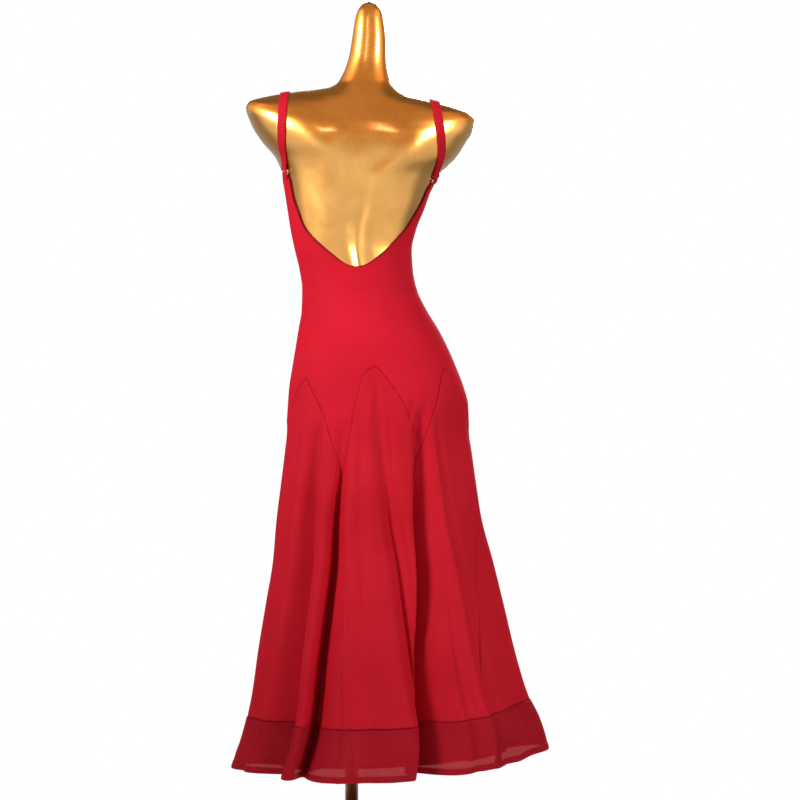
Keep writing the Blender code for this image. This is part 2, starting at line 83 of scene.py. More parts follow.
# The form, a section a row. height is that of the section's front and back, and left and right
# are its ends, which stand leftRise and rightRise above that height.
formSections = table("height left right back front leftRise rightRise", [
    (798, 111, -209, 108, -96, 0, 0),
    (834, 116, -216, 117, -98, 0, 0),
    (871, 117, -217, 122, -99, 0, 0),
    (909, 115, -209, 122, -98, 0, 0),
    (947, 110, -197, 116, -97, 0, 0),
    (985, 104, -181, 105, -95, 0, 0),
    (1023, 98, -162, 93, -92, 0, 0),
    (1061, 92, -139, 83, -88, 0, 0),
    (1099, 91, -121, 76, -84, 0, 0),
    (1137, 96, -113, 74, -83, 0, 0),
    (1175, 105, -111, 77, -87, 0, 0),
    (1213, 113, -119, 83, -95, 0, 0),
    (1251, 119, -134, 90, -107, 0, 0),
    (1289, 125, -148, 96, -117, 0, 0),
    (1315, 130, -162, 99, -116, 0, 0),
    (1340, 144, -198, 101, -108, 9, 9),
    (1365, 170, -219, 102, -98, 15, 15),
    (1387, 190, -231, 101, -86, 25, 15),
    (1408, 200, -234, 97, -75, 34, 11),
    (1427, 194, -225, 90, -64, 28, 5),
    (1443, 159, -196, 82, -54, 22, 1),
    (1456, 108, -153, 74, -46, 17, -1),
    (1467, 64, -113, 67, -39, 11, -3),
    (1479, 39, -88, 60, -33, 4, -2),
    (1494, 24, -74, 52, -27, 0, 0),
    (1536, 6, -66, 41, -17, 0, 0),
    (1574, -1, -65, 36, -14, 0, 0),
    (1608, -6, -61, 32, -11, 0, 0),
    (1627, -11, -57, 28, -6, 0, 0),
    (1640, -20, -47, 20, 2, 0, 0),
])
formTip = (-33.0, 11.0, 1646.0)
formBottom = formSections[0].height

# Soft swells and hollows of the form's back: at is degrees round from the centre back. The cloth
# spans the hollows, and follows only the swells.
swellColumns = "at height wide tall out"
formSwells = table(swellColumns, [
    (25, 1362, 14, 60, 7.0),
    (-26, 1352, 14, 60, 7.0),
    (-4, 1225, 8, 110, -7.0),
    (-3, 1365, 11, 70, -4.0),
])
fineSwells = table(swellColumns, [
    (-3.5, 1170, 3.0, 70, -3.2),
    (7, 1165, 6, 60, 1.6),
    (-13, 1205, 7, 75, 2.2),
    (9, 1395, 5, 28, 1.4),
    (34, 1300, 9, 60, -2.0),
    (-36, 1290, 9, 60, -2.0),
    (58, 1388, 20, 30, 2.0),
    (-58, 1380, 20, 30, 2.0),
])

# The skirt's envelope, a level a row, as the cloth's outer face
skirtLevels = table("height left right back front", [
    (140, 240, -388, 266, -280),
    (187, 235, -384, 260, -271),
    (225, 225, -381, 253, -262),
    (244, 218, -378, 249, -257),
    (291, 205, -364, 240, -245),
    (339, 195, -341, 230, -232),
    (415, 184, -318, 214, -210),
    (510, 168, -295, 194, -185),
    (586, 155, -276, 178, -165),
    (662, 148, -255, 163, -145),
    (738, 138, -241, 151, -130),
    (795, 130, -231, 141, -117),
    (836, 124, -223, 136, -110),
    (880, 121, -221, 132, -106),
    (925, 118, -211, 127, -104),
    (965, 111, -193, 117, -101),
])

# The seams between the gores, in order round the skirt. The angles are degrees from the centre
# back towards the wearer's left, and the tip is where the bodice ends.
seams = table("tip atTip atMiddle atHem", [
    (784, -27, -20.5, -15),
    (750, 17.5, 21.5, 28),
    (812, 86, 90, 97),
    (762, 157, 152, 147),
    (762, 203, 209, 214),
    (812, 274, 312, 325),
])
seamHeights = {"hem": 190.0, "middle": 510.0, "top": 820.0}
sideRight = -1
sideLeft = 2

# The gores' arched tops: share is how far across the gore the crown stands. first and last say how
# straight its two flanks are, from 0, round at the crown, to 1, straight.
crowns = table("name height share first last", [
    ("centre_back", 952, 0.59, 0.75, 0.15),
    ("side_back_left", 930, 0.50, 0.78, 0.75),
    ("side_front_left", 938, 0.50, 0.60, 0.60),
    ("centre_front", 948, 0.50, 0.25, 0.25),
    ("side_front_right", 938, 0.50, 0.60, 0.60),
    ("side_back_right", 949, 0.51, 0.80, 0.50),
])

# Folds of the skirt. top and hem are degrees round from the centre back, where the fold starts and
# at the hem. deep is how far it lies in at the hem, wide its half width in degrees, and lean the
# degrees that its bottom slips round under the neighbouring fold.
foldColumns = "top hem starts deep wide lean"
mainFolds = table(foldColumns, [
    (-27.5, -14.5, 885, 76, 4.4, 8),
    (17.5, 28, 850, 66, 3.6, 12),
    (41, 49, 895, 52, 7.0, -4),
    (88, 99, 850, 40, 9.0, 0),
    (118, 124, 900, 38, 9.5, 4),
    (157, 147, 820, 80, 6.0, -7),
    (178, 176, 900, 16, 7.5, 0),
    (192, 194, 880, 12, 6.0, 0),
    (203, 214, 820, 80, 6.0, 7),
    (232, 240, 900, 42, 10.0, -4),
    (272, 263, 840, 44, 8.5, 0),
    (312, 300, 880, 9, 8.0, 0),
    (0, -13, 925, 26, 3.2, 0),
    (-5, -17, 900, 12, 2.6, 0),
])
# Shallow folds between the main ones, which only the scene has. A ridge's deep is below zero.
fineFolds = table(foldColumns, [
    (0, -13, 925, 8.0, 2.4, 0),
    (-5, -17, 900, 6.0, 1.8, 0),
    (-2.5, -15, 915, -5.0, 1.2, 0),
    (15.8, 15.5, 800, -5.0, 1.0, 0),
    (9, 7, 900, 8.0, 2.4, 0),
    (4, 0, 880, -4.0, 2.0, 0),
    (26, 36, 900, -7.0, 2.4, 0),
    (33, 41, 925, -6.0, 2.4, 0),
    (37, 45, 915, 8.0, 2.6, 0),
    (55, 66, 900, 9.0, 3.6, 0),
    (68, 82, 880, 7.0, 3.6, 0),
    (103, 112, 890, 9.0, 3.6, 0),
    (136, 136, 880, 9.0, 3.6, 0),
    (168, 163, 900, 8.0, 3.0, 0),
    (184, 186, 930, -6.0, 2.6, 0),
    (193, 199, 880, 7.0, 2.6, 0),
    (216, 226, 880, 9.0, 3.6, 0),
    (248, 252, 870, 9.0, 3.6, 0),
    (283, 279, 880, 8.0, 3.6, 0),
    (322, 316, 900, 8.0, 3.0, 0),
    (326, 323, 880, -5.0, 1.8, 0),
    (330, 331, 900, 6.0, 2.0, 0),
])

# Small creases placed one by one: slant is degrees from upright, and deep is below zero for a ridge
creases = table("place height tall wide deep slant", [
    (1.05, 824, 24, 4.5, 2.6, 4),
    (0.17, 868, 24, 5.0, 1.8, -15),
    (0.03, 828, 22, 5.0, 3.0, -10),
    (0.96, 842, 24, 6.0, -1.0, 8),
    (0.62, 880, 34, 4.5, 2.2, -6),
    (1.10, 758, 46, 7.0, 3.5, -8),
    (0.46, 1098, 5, 46, 0.5, 3),
    (1.55, 1104, 5, 38, 0.7, -6),
    (1.70, 1128, 5, 30, 0.5, 8),
    (-0.45, 1092, 6, 40, 0.7, 5),
    (-0.62, 1120, 5, 32, 0.6, -7),
    (2.40, 1110, 6, 44, 0.6, 4),
    (3.45, 1096, 5, 50, 0.5, -2),
    (4.50, 1104, 6, 42, 0.6, -5),
    (2.45, 1290, 36, 6, 0.7, 30),
    (4.55, 1286, 36, 6, 0.7, -30),
    (0.34, 318, 16, 5, 3.0, 30),
    (0.45, 316, 14, 4, 2.6, 38),
    (0.52, 322, 12, 5, 2.0, 20),
    (0.22, 326, 16, 5, 2.4, -24),
    (1.30, 296, 20, 6, 3.6, -32),
    (1.40, 302, 16, 5, -1.8, -20),
    (1.52, 305, 16, 5, 2.4, 14),
    (5.30, 336, 14, 6, 2.2, 14),
    (5.58, 330, 12, 5, 1.8, -16),
    (2.60, 292, 14, 6, 1.4, 12),
    (3.40, 286, 14, 6, 1.3, -10),
    (4.40, 318, 14, 6, 1.4, 12),
])

# The bodice's top edge, from the centre back (0) round each side to the centre front (180)
edgeColumns = "degrees height"
frontEdge = table(edgeColumns, [(124, 1338), (138, 1326), (160, 1310), (180, 1302)])
leftEdge = table(edgeColumns, [
    (0, 1139),
    (5, 1140),
    (10, 1147),
    (19, 1161),
    (28, 1177),
    (39, 1194),
    (50, 1216),
    (56, 1243),
    (62, 1272),
    (64, 1306),
    (68, 1316),
    (75, 1319),
    (84, 1306),
    (95, 1303),
    (106, 1320),
    (115, 1336),
]) + frontEdge
rightEdge = table(edgeColumns, [
    (0, 1139),
    (4, 1139.5),
    (9, 1143),
    (20, 1155.5),
    (38, 1178.5),
    (47, 1194),
    (59, 1216),
    (66, 1243),
    (72, 1272),
    (74, 1292),
    (78, 1299),
    (87, 1299),
    (96, 1290),
    (107, 1312),
    (116, 1336),
]) + frontEdge

# The straps: how far across each stands at its ring behind, on the back, over the shoulder and in
# front. The turns are its ends, in degrees from straight back, up and over the shoulder.
straps = table("name backX midX topX frontX backTurn frontTurn", [
    ("left", 123, 130, 126, 112, -58, 206.0),
    ("right", -157, -170, -157, -142, -76, 206.4),
])
shoulderMiddle = (8.0, 1382.0)


# The surfaces. Each takes arrays and gives points in millimetres.

# A smooth line through the knots: cubic pieces whose slopes never overshoot
def smoothCurve(at, knots, values):
    knots = np.asarray(knots, float)
    values = np.asarray(values, float)
    at = np.clip(at, knots[0], knots[-1])
    step = np.diff(knots)
    rise = np.diff(values) / step
    before, after = rise[:-1], rise[1:]
    inner = np.where(before * after > 0, 2 * before * after / (before + after + 1e-12), 0)
    slope = np.concatenate([[rise[0]], inner, [rise[-1]]])
    i = np.clip(np.searchsorted(knots, at, side="right") - 1, 0, len(step) - 1)
    t = (at - knots[i]) / step[i]
    start = values[i] + t * t * (3 - 2 * t) * (values[i + 1] - values[i])
    return start + step[i] * t * (1 - t) * ((1 - t) * slope[i] - t * slope[i + 1])


# One column of a table, by its name
def column(rows, name):
    return [getattr(row, name) for row in rows]


# Rises from 0 to 1 along a cubic that is level at both ends
def smoothStep(t):
    t = np.clip(t, 0, 1)
    return t * t * (3 - 2 * t)


# A power of the value's size, with its sign kept
def signPower(value, power):
    return np.sign(value) * np.abs(value) ** power


# The turn from b to a, from -180 to 180 degrees
def awayDegrees(a, b):
    return (a - b + 180) % 360 - 180


# Vectors brought to a length of 1
def unit(vectors):
    return vectors / np.maximum(np.linalg.norm(vectors, axis=-1, keepdims=True), 1e-9)


# The length run so far at each point of a line
def runAlong(line):
    return np.concatenate([[0], np.cumsum(np.linalg.norm(np.diff(line, axis=0), axis=1))])


# The way a line goes at each point, from its neighbours
def tangents(line, closed=False):
    if closed:
        return np.roll(line, -1, axis=0) - np.roll(line, 1, axis=0)
    return np.gradient(line, axis=0)


# How far the section of a height reaches to the left, right, back and front
def reachOf(rows, height, out=0.0):
    sides = {"left": 1, "right": -1, "back": 1, "front": -1}
    at = column(rows, "height")
    return {name: smoothCurve(height, at, column(rows, name)) + sign * out for name, sign in sides.items()}


# The middle of a section, and a point of it less that middle: a power of the sine of the turn
# across and of its cosine along, each times the section's half width
def onSection(turn, reach):
    across = signPower(np.sin(turn), form["sectionPower"]) * (reach["left"] - reach["right"]) / 2
    along = signPower(np.cos(turn), form["sectionPower"]) * (reach["back"] - reach["front"]) / 2
    return (reach["left"] + reach["right"]) / 2, (reach["back"] + reach["front"]) / 2, across, along


# How far a point of a section stands above its height, towards the shoulders' ends: the rise of
# its side times the square of the turn's sine
def endRise(turn, height):
    at = column(formSections, "height")
    left, right = (smoothCurve(height, at, column(formSections, name)) for name in ("leftRise", "rightRise"))
    return np.sin(turn) ** 2 * np.where(np.sin(turn) > 0, left, right)


# Bell-shaped swells of the form's back, each as wide and tall as its row says
def swellOut(swells, degrees, height):
    total = 0.0
    for swell in swells:
        roundAway = awayDegrees(degrees, swell.at) / swell.wide
        total = total + swell.out * np.exp(-(roundAway**2) - ((height - swell.height) / swell.tall) ** 2)
    return total


# A point of the form: its section, with the swells towards the back and the rise at the ends
def formPoint(degrees, height):
    turn = np.radians(degrees)
    middleX, middleY, across, along = onSection(turn, reachOf(formSections, height))
    swell = swellOut(formSwells + fineSwells, degrees, height) * np.cos(turn)
    points = (middleX + across, middleY + along + swell, height + endRise(turn, height))
    return np.stack(np.broadcast_arrays(*points), axis=-1)


# The angle of a place round the skirt, where each seam is a whole number
def goreAngle(place, height):
    turns = len(seams)
    place, height = np.broadcast_arrays(np.asarray(place, float), np.asarray(height, float))
    lines = []
    for i in range(-turns, 2 * turns + 1):
        seam = seams[i % turns]
        angles = (seam.atHem, seam.atMiddle, seam.atTip)
        lines.append(smoothCurve(height, list(seamHeights.values()), angles) + 360.0 * (i // turns))
    lines = np.array(lines)
    below = np.floor(place).astype(int)
    low = np.take_along_axis(lines, (below + turns)[None], axis=0)[0]
    high = np.take_along_axis(lines, (below + 1 + turns)[None], axis=0)[0]
    return low + (place - below) * (high - low)


# How far in from the envelope the cloth lies, and how far its folds lean. A fold is a bell-shaped
# trough across that grows from where it starts down to the hem, quickly at first, and its middle
# moves evenly from the top angle to the hem's.
def foldShape(folds, degrees, height):
    deep = 0.0
    lean = 0.0
    for fold in folds:
        down = np.clip((fold.starts - height) / (fold.starts - seamHeights["hem"]), 0, 1)
        centre = fold.top + (fold.hem - fold.top) * down
        away = awayDegrees(degrees, centre) / fold.wide
        shape = np.exp(-(away**2)) * down * (2 - down)
        deep = deep + fold.deep * shape
        lean = lean + fold.lean * shape
    return deep, lean


# About how wide a gore is at a height: the same above, and wider evenly further down
def goreWide(height):
    return gore["wide"] + gore["flare"] * np.maximum(gore["flaresBelow"] - height, 0)


# Soft troughs and ridges, bell-shaped across and along
def creaseDepth(place, height):
    turns = len(seams)
    deep = 0.0
    for crease in creases:
        across = ((place - crease.place + turns / 2) % turns - turns / 2) * goreWide(height)
        up = height - crease.height
        slant = math.radians(crease.slant)
        along = up * math.cos(slant) + across * math.sin(slant)
        aside = across * math.cos(slant) - up * math.sin(slant)
        deep = deep + crease.deep * np.exp(-((along / crease.tall) ** 2) - (aside / crease.wide) ** 2)
    return deep


# A point of the dress's outer face: the form's section moved out, which passes below into the
# skirt's envelope, less the folds, which never reach the form
def clothPoint(place, height, out=0.0):
    degrees = goreAngle(place, height)
    deep, lean = foldShape(mainFolds, degrees, height)
    fine, _ = foldShape(fineFolds, degrees, height)
    turn = np.radians(degrees + lean)
    leaves, left = skirt["leavesForm"]
    free = 1 - smoothStep((height - left) / (leaves - left))
    fitted = reachOf(formSections, height, cloth["ease"])
    loose = reachOf(skirtLevels, height)
    reach = {name: fitted[name] + free * (loose[name] - fitted[name]) for name in fitted}
    middleX, middleY, across, along = onSection(turn, reach)
    _, _, formAcross, formAlong = onSection(turn, fitted)
    span = np.hypot(across, along)
    clear = skirt["foldClearsForm"]
    formShare = np.minimum(np.hypot(formAcross, formAlong) / span, 1)
    least = smoothStep((height - formBottom + clear) / clear) * formShare
    keep = np.maximum(1 - (deep + fine) / span, least) + (out - creaseDepth(place, height)) / span
    swell = np.maximum(swellOut(formSwells, degrees, height), 0) * np.cos(turn)
    points = (middleX + keep * across, middleY + keep * along + swell, height + endRise(turn, height))
    return np.stack(np.broadcast_arrays(*points), axis=-1)


# The seam between bodice and gores: each gore's crown, whose flanks fall by a mix of the share
# across and its cube. The share is a hyperbola's, so that the crown is a little rounded.
def archHeight(place):
    turns = len(seams)
    which = np.floor(place).astype(int) % turns
    share = place - np.floor(place)
    crownHeight, crownShare, first, last = (
        np.array(column(crowns, name), float)[which] for name in ("height", "share", "first", "last")
    )
    tips = np.array(column(seams, "tip"), float)
    before = share < crownShare
    tip = np.where(before, tips[which], tips[(which + 1) % turns])
    side = np.where(before, crownShare, 1 - crownShare)
    soft = gore["crownRound"]
    away = (np.hypot(np.abs(share - crownShare) / side, soft) - soft) / (math.hypot(1, soft) - soft)
    straight = np.where(before, first, last)
    return crownHeight - (crownHeight - tip) * (straight * away + (1 - straight) * away**3)


# The arch seam's slope, as height over width, taken across a short step inside the gore
def archSlope(place):
    near, inside = 0.004, 1e-6
    before = np.maximum(place - near, np.floor(place) + inside)
    after = np.minimum(place + near, np.floor(place) + 1 - inside)
    return (archHeight(after) - archHeight(before)) / (gore["wide"] * (after - before))


# The hem's height: a mean, with a cosine from back to front, a sine from right to left, and one
# of twice the turn that lifts both sides
def hemHeight(place):
    turn = np.radians(goreAngle(place, seamHeights["hem"]))
    level = hem["mean"] + hem["backOverFront"] * np.cos(turn) - hem["rightOverLeft"] * np.sin(turn)
    return level - hem["sides"] * np.cos(2 * turn)


# Where the hem band's top seam runs
def bandTop(place):
    return hemHeight(place) + hemRoll["deep"] + hemBand["deep"]


# The bodice's top edge: the curve of its side, which is the mean of five near places over the
# small of the back, so that its corners are round there
def topEdgeHeight(place):
    degrees = awayDegrees(goreAngle(place, seamHeights["top"]), 0)
    reach = bodice["edgeRound"] * np.interp(np.abs(degrees), (43, 56), (1, 0))
    total = 0
    for share in (-1, -0.5, 0, 0.5, 1):
        away = degrees + share * reach
        left, right = (
            smoothCurve(np.abs(away), column(rows, "degrees"), column(rows, "height"))
            for rows in (leftEdge, rightEdge)
        )
        total = total + np.where(away > 0, left, right) / 5
    return total


# Unit normals of a grid of points, outwards for rows that rise and columns that run clockwise
def gridNormals(grid):
    return unit(np.cross(np.gradient(grid, axis=0), np.gradient(grid, axis=1)))


# Places from one whole place to another, trimmed by half a seam's gap at both ends
def trimmed(places, first, last):
    trim = cloth["seamGap"] / 2 / gore["wide"]
    return np.clip(places, first + trim, last - trim)[None, :]


# Places across a gore: steps of a run that is partly the cloth's length along the hem, partly
# even, and partly close at the ends
def goreColumns(index):
    count = 1200
    shares = np.linspace(0, 1, count + 1)
    length = np.linalg.norm(np.diff(clothPoint(index + shares, seamHeights["hem"]), axis=0), axis=1)
    ends = 1 / (0.02 + np.minimum(shares, 1 - shares))[1:]
    steps = length / length.sum() + 0.8 / count + 0.5 * ends / ends.sum()
    run = np.concatenate([[0], np.cumsum(steps)])
    places = index + np.interp(np.linspace(0, run[-1], gore["columns"] + 1), run, shares)
    return trimmed(places, index, index + 1)


# Shares from 0 to 1, closer together at both ends
def endShares(count):
    even = np.linspace(0, 1, count + 1)
    return (even + (1 - np.cos(even * math.pi)) / 2) / 2


# Making meshes

# A mesh from points in millimetres and arrays of polygons with equal corners
def addMesh(name, points, polygons, cut=None):
    mesh = bpy.data.meshes.new(name)
    mesh.vertices.add(len(points))
    mesh.vertices.foreach_set("co", (np.asarray(points) * mm).astype(np.float32).ravel())
    corners = np.concatenate([np.asarray(part).ravel() for part in polygons]).astype(np.int32)
    sizes = np.concatenate([np.full(len(part), np.shape(part)[1]) for part in polygons])
    starts = (np.cumsum(sizes) - sizes).astype(np.int32)
    mesh.loops.add(len(corners))
    mesh.loops.foreach_set("vertex_index", corners)
    mesh.polygons.add(len(sizes))
    mesh.polygons.foreach_set("loop_start", starts)
    if cut is not None:
        layer = mesh.uv_layers.new(name="Cut")
        layer.data.foreach_set("uv", (np.asarray(cut)[corners] * mm).astype(np.float32).ravel())
    mesh.validate()
    mesh.update()
    mesh.shade_smooth()
    piece = bpy.data.objects.new(name, mesh)
    bpy.context.scene.collection.objects.link(piece)
    return piece


# Quads over a grid of points kept row by row, joined across or up when closed
def gridQuads(rows, columns, closedAcross=False, closedUp=False):
    up = np.arange(rows if closedUp else rows - 1)
    across = np.arange(columns if closedAcross else columns - 1)
    r, c = np.meshgrid(up, across, indexing="ij")
    above, aside = (r + 1) % rows, (c + 1) % columns
    quads = (r * columns + c, above * columns + c, above * columns + aside, r * columns + aside)
    return np.stack(quads, axis=-1).reshape(-1, 4)


# A strip of quads between two rows of corners
def ribbon(first, second):
    return np.stack([first[:-1], second[:-1], second[1:], first[1:]], axis=-1)


# Distances over the cut cloth, across along the widest row and up along the middle column
def cutOf(grid):
    rows, columns = grid.shape[:2]
    widths = np.linalg.norm(np.diff(grid, axis=1), axis=2).sum(axis=1)
    across, up = runAlong(grid[np.argmax(widths)]), runAlong(grid[:, columns // 2])
    return np.stack(np.broadcast_arrays(across[None, :], up[:, None]), axis=-1).reshape(-1, 2)


# A closed thin shell: the grid, the same grid moved in along its normals, and a rim
def addShell(name, grid, wall):
    rows, columns = grid.shape[:2]
    inner = grid - gridNormals(grid) * wall
    count = rows * columns
    quads = gridQuads(rows, columns)
    index = np.arange(count).reshape(rows, columns)
    rims = [
        ribbon(index[0] + count, index[0]),
        ribbon(index[-1], index[-1] + count),
        ribbon(index[:, 0], index[:, 0] + count),
        ribbon(index[:, -1] + count, index[:, -1]),
    ]
    cut = cutOf(grid)
    points = np.concatenate([grid.reshape(-1, 3), inner.reshape(-1, 3)])
    return addMesh(name, points, [quads, quads[:, ::-1] + count] + rims, np.concatenate([cut, cut]))


# A tube: a profile of (aside, out) pairs swept along a line with given normals
def sweep(line, normals, profile, closed=False):
    aside = unit(np.cross(tangents(line, closed), normals))
    profile = np.asarray(profile)
    if profile.ndim == 2:
        profile = np.broadcast_to(profile, (len(line), *profile.shape))
    return line[:, None] + aside[:, None] * profile[..., :1] + normals[:, None] * profile[..., 1:]


# The mesh of a swept tube, with flat ends unless it is closed
def addTube(name, grid, closed=False):
    rows, columns = grid.shape[:2]
    polygons = [gridQuads(rows, columns, closedAcross=True, closedUp=closed)]
    if not closed:
        polygons.append(np.arange(columns)[None, :])
        polygons.append((np.arange(columns)[::-1] + (rows - 1) * columns)[None, :])
    up = runAlong(grid[:, 0])
    steps = np.linalg.norm(np.diff(grid[0], axis=0, append=grid[0][:1]), axis=1)
    across = np.cumsum(steps) - steps
    cut = np.stack(np.broadcast_arrays(across[None, :], up[:, None]), axis=-1).reshape(-1, 2)
    return addMesh(name, grid.reshape(-1, 3), polygons, cut)


# An ellipse, and a rectangle with rounded ends, as (aside, out) pairs. Both run so that the tubes'
# faces point outwards.
def ellipse(wide, thick, count):
    turn = np.linspace(0, 2 * math.pi, count, endpoint=False)
    return np.stack([np.cos(turn) * wide / 2, np.sin(turn) * thick / 2], axis=-1)


# Its outline is a power of the circle's, which fills the corners
def roundedBand(wide, thick, count):
    bulge = signPower(ellipse(1, 1, count) * 2, 0.45)
    return np.stack([bulge[:, 0] * wide / 2, bulge[:, 1] * thick / 2], axis=-1)


# A line resampled at equal steps, with its normals
def evenLine(line, normals, step, closed=False):
    if closed:
        line = np.concatenate([line, line[:1]])
        normals = np.concatenate([normals, normals[:1]])
    run = runAlong(line)
    count = max(4, int(run[-1] / step))
    at = np.linspace(0, run[-1], count, endpoint=not closed)
    even, out = (
        np.stack([np.interp(at, run, values[:, i]) for i in range(3)], axis=-1)
        for values in (line, normals)
    )
    return even, unit(out)


# Stitches along a line: each is a short spindle of thread, thick in the middle
def addStitches(name, line, normals, closed=False):
    middles, out = evenLine(line, normals, stitch["long"] + stitch["gap"], closed)
    along = unit(np.gradient(middles, axis=0))
    aside = np.cross(along, out)
    ends = np.array([-0.5, -0.3, 0.0, 0.3, 0.5]) * stitch["long"]
    radii = np.array([0.15, 0.85, 1.0, 0.85, 0.15]) * stitch["radius"]
    rings, corners = len(ends), 6
    turn = np.linspace(0, 2 * math.pi, corners, endpoint=False)[None, :, None]
    middles, along, out, aside = (part[:, None, None] for part in (middles, along, out, aside))
    spokes = np.cos(turn) * out + np.sin(turn) * aside
    points = middles + along * ends[None, :, None, None] + spokes * radii[None, :, None, None]
    quads = gridQuads(rings, corners, closedAcross=True)[:, ::-1]
    caps = np.array([np.arange(corners)[::-1], np.arange(corners) + (rings - 1) * corners])[:, ::-1]
    first = (np.arange(len(points)) * rings * corners)[:, None, None]
    polygons = [(quads[None] + first).reshape(-1, 4), (caps[None] + first).reshape(-1, corners)]
    return addMesh(name, points.reshape(-1, 3), polygons)


# Finishes

# A colour written as sRGB hex, in the linear values that shaders take
def hexColour(text):
    srgb = np.array([int(text[i : i + 2], 16) / 255 for i in (1, 3, 5)])
    linear = np.where(srgb <= 0.04045, srgb / 12.92, ((srgb + 0.055) / 1.055) ** 2.4)
    return (*(float(x) for x in linear), 1.0)


# A grey in linear light
def grey(value):
    return (value, value, value, 1.0)


# Adds a node. A value for an input is a socket to link, or a constant.
def addNode(tree, kind, settings=None, inputs=None):
    node = tree.nodes.new(kind)
    for name, value in (settings or {}).items():
        setattr(node, name, value)
    for name, value in (inputs or {}).items():
        if isinstance(value, bpy.types.NodeSocket):
            tree.links.new(value, node.inputs[name])
        else:
            node.inputs[name].default_value = value
    return node


# An empty material, its tree, and the object's own coordinates
def newMaterial(name):
    made = bpy.data.materials.new(name)
    made.use_nodes = True
    tree = made.node_tree
    tree.nodes.clear()
    return made, tree, addNode(tree, "ShaderNodeTexCoord").outputs["Object"]


# A value turned into colours, from stops of a value and its colour
def colourRamp(tree, factor, stops):
    ramp = addNode(tree, "ShaderNodeValToRGB", inputs={"Fac": factor})
    for i, (position, colour) in enumerate(stops):
        stop = ramp.color_ramp.elements[i] if i < 2 else ramp.color_ramp.elements.new(position)
        stop.position = position
        stop.color = colour
    return ramp.outputs["Color"]


# Cloudy noise over the given coordinates
def noiseOf(tree, where, scale, detail=2.0, rough=0.5, distortion=0.0):
    inputs = {"Vector": where, "Scale": scale, "Detail": detail, "Roughness": rough, "Distortion": distortion}
    return addNode(tree, "ShaderNodeTexNoise", inputs=inputs).outputs["Fac"]


# One step of arithmetic on values or outputs
def mathOf(tree, operation, *values):
    return addNode(tree, "ShaderNodeMath", {"operation": operation}, dict(enumerate(values))).outputs[0]


# A value moved from one range to another, evenly or eased at both ends
def mapped(tree, value, old, new=(0.0, 1.0), eased=False):
    settings = {"interpolation_type": "SMOOTHSTEP" if eased else "LINEAR"}
    inputs = {"Value": value, "From Min": old[0], "From Max": old[1], "To Min": new[0], "To Max": new[1]}
    return addNode(tree, "ShaderNodeMapRange", settings, inputs).outputs[0]


# Normals tilted by the slope of a height
def bumpOf(tree, height, strength, distance, **more):
    inputs = {"Height": height, "Strength": strength, "Distance": distance, **more}
    return addNode(tree, "ShaderNodeBump", inputs=inputs).outputs[0]


# Two colours blended by a share
def mixColours(tree, share, first, second, blend="MIX"):
    settings = {"data_type": "RGBA", "blend_type": blend}
    return addNode(tree, "ShaderNodeMix", settings, {0: share, 6: first, 7: second}).outputs[2]


# Two shaders, the second by the share
def mixShaders(tree, share, first, second):
    return addNode(tree, "ShaderNodeMixShader", inputs={0: share, 1: first, 2: second}).outputs[0]


# A surface from its named inputs
def surfaceOf(tree, inputs):
    return addNode(tree, "ShaderNodeBsdfPrincipled", inputs=inputs).outputs[0]


# The shader joined to the material's output
def finishWith(tree, shader):
    addNode(tree, "ShaderNodeOutputMaterial", inputs={"Surface": shader})


# A dyed cloth: crossed yarns of the given pitch, a pebbled crepe grain, and uneven dye, with painted
# shade that darkens the colour between the yarns. The share that passes straight through each face
# makes it sheer.
def clothMaterial(name, light, dark, pitch, grain, rough, sheen, sheer=0.0, tint="#FF5A5A"):
    made, tree, place = newMaterial(name)
    cut = addNode(tree, "ShaderNodeUVMap", {"uv_map": "Cut"}).outputs["UV"]
    yarns = []
    for direction in ("X", "Y"):
        settings = {"wave_type": "BANDS", "bands_direction": direction, "wave_profile": "SIN"}
        scale = 0.314 / (pitch * mm)  # a band is pi / 10 units wide at a scale of 1
        yarn = {"Vector": cut, "Scale": scale, "Distortion": 1.2, "Detail": 1.0, "Detail Scale": 2.0}
        yarns.append(addNode(tree, "ShaderNodeTexWave", settings, yarn).outputs["Fac"])
    woven = mathOf(tree, "MULTIPLY", *yarns)
    pebbles = noiseOf(tree, cut, 1 / (pitch * 2.6 * mm), 3.0, 0.6)
    relief = mathOf(tree, "MULTIPLY_ADD", woven, 1.0 - grain, pebbles)
    clouds = noiseOf(tree, place, 9.0, 3.0, 0.55)
    dye = colourRamp(tree, clouds, [(0.32, hexColour(dark)), (0.68, hexColour(light))])
    # Painted shade: the colour is darkened where the weave's relief is low, between the yarns
    shade = colourRamp(tree, woven, [(0.0, grey(0.72)), (0.6, grey(1.0))])
    dyedAndShaded = {
        "Base Color": mixColours(tree, 1.0, dye, shade, "MULTIPLY"),
        "Roughness": rough,
        "Sheen Weight": sheen,
        "Sheen Roughness": 0.4,
        "Sheen Tint": hexColour(light),
        "Specular IOR Level": 0.1,
        "Normal": bumpOf(tree, relief, 0.5, pitch * mm * 0.35),
    }
    shader = surfaceOf(tree, dyedAndShaded)
    if sheer:
        passed = addNode(tree, "ShaderNodeBsdfTransparent", inputs={"Color": hexColour(tint)}).outputs[0]
        shader = mixShaders(tree, sheer, shader, passed)
    finishWith(tree, shader)
    return made


